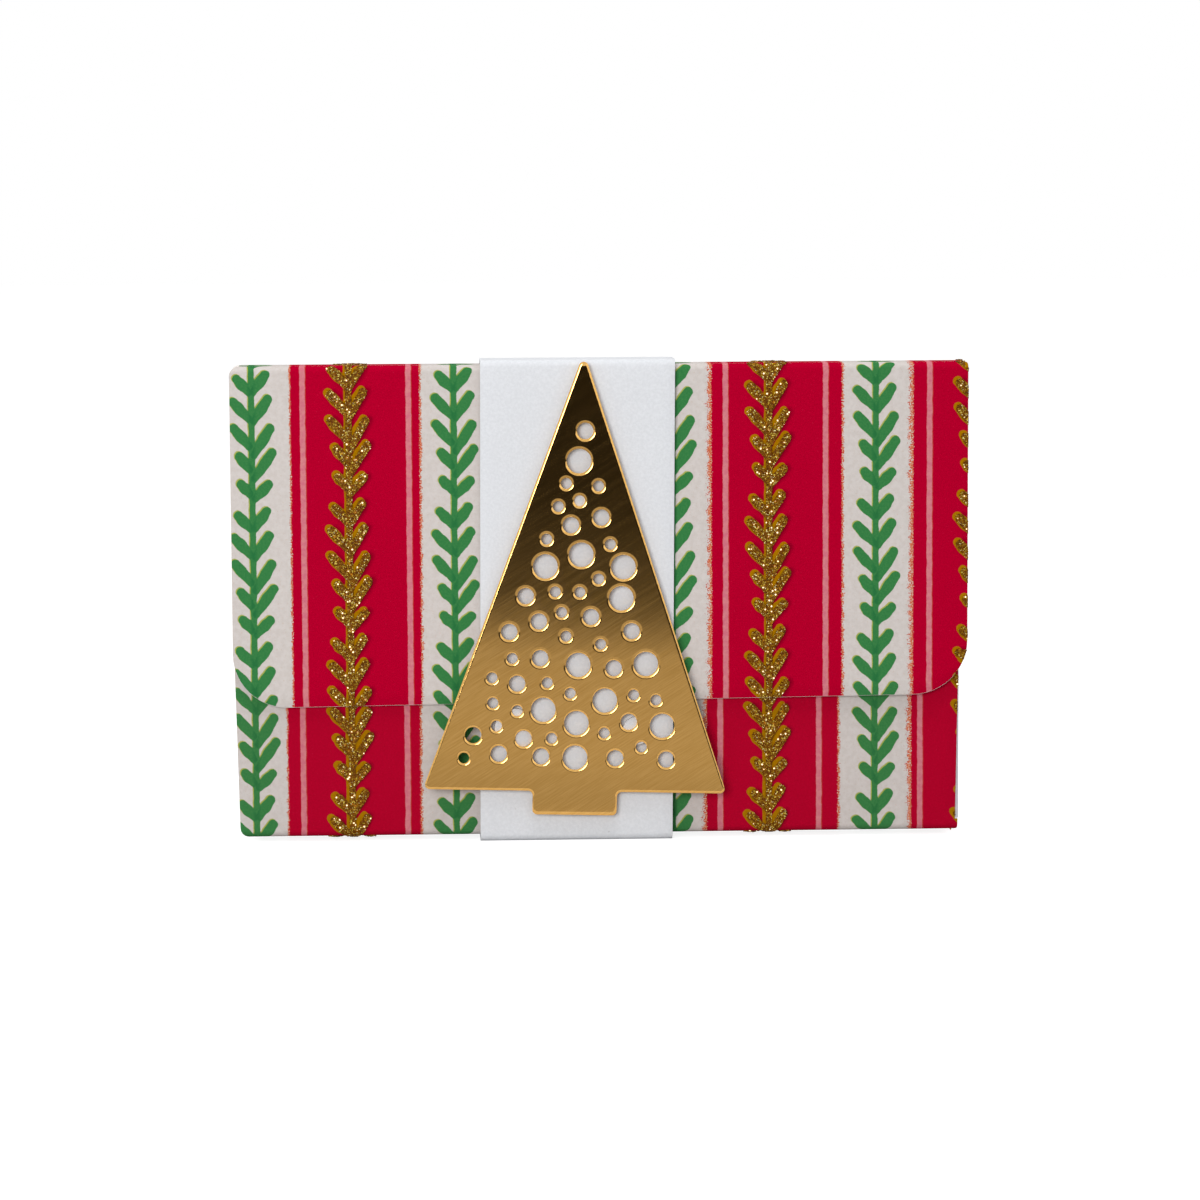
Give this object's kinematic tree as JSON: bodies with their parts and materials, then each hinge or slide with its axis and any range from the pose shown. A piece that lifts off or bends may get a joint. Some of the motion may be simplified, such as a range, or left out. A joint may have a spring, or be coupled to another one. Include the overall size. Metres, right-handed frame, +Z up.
{
  "type": "gift card holder",
  "caption": "Folded card sleeve with a flap and a pocket for a gift card, held shut by a sliding paper belly band that carries a perforated metal tree ornament.",
  "frame": {"origin": "middle of the holder's footprint, on the surface that the holder stands on", "axes": "+Z up, +X along the creases to the right as seen from the front, -Y out of the flap's face"},
  "size_m": [0.108, 0.0096, 0.0708],
  "materials": {
    "printed_card": "matte",
    "plain_card": "matte",
    "band_paper": "matte",
    "tape": "matte",
    "glitter": "glossy",
    "gold_metal": "polished",
    "foam": "matte"
  },
  "bodies": {
    "sleeve": {"back_panel": "printed_card", "top_spine": "printed_card", "bottom_gusset": "printed_card", "pocket_panel": "printed_card", "left_gusset": "plain_card", "right_gusset": "plain_card", "left_glue_tab": "plain_card", "right_glue_tab": "plain_card", "left_tab_tape": "tape", "right_tab_tape": "tape", "spine_glitter": "glitter", "back_glitter": "glitter", "bottom_glitter": "glitter", "pocket_glitter": "glitter"},
    "flap": {"front_flap": "printed_card", "flap_glitter": "glitter"},
    "belly_band": {"band_front": "band_paper", "band_top": "band_paper", "band_bottom": "band_paper", "band_back_inner_ply": "band_paper", "band_back_outer_ply": "band_paper", "band_lap_tape": "tape", "tree_ornament": "gold_metal", "upper_foam_pad": "foam", "left_foam_pad": "foam", "right_foam_pad": "foam"}
  },
  "joints": [
    {"name": "flap_crease", "type": "hinge", "parent": "sleeve", "child": "flap", "pos_m": [0, -0.00162, 0.06915], "axis": [-1, 0, 0], "range_deg": [0, 0.45]},
    {"name": "band_slide", "type": "slide", "parent": "sleeve", "child": "belly_band", "axis": [1, 0, 0], "range_m": [-0.066, 0.073]}
  ]
}
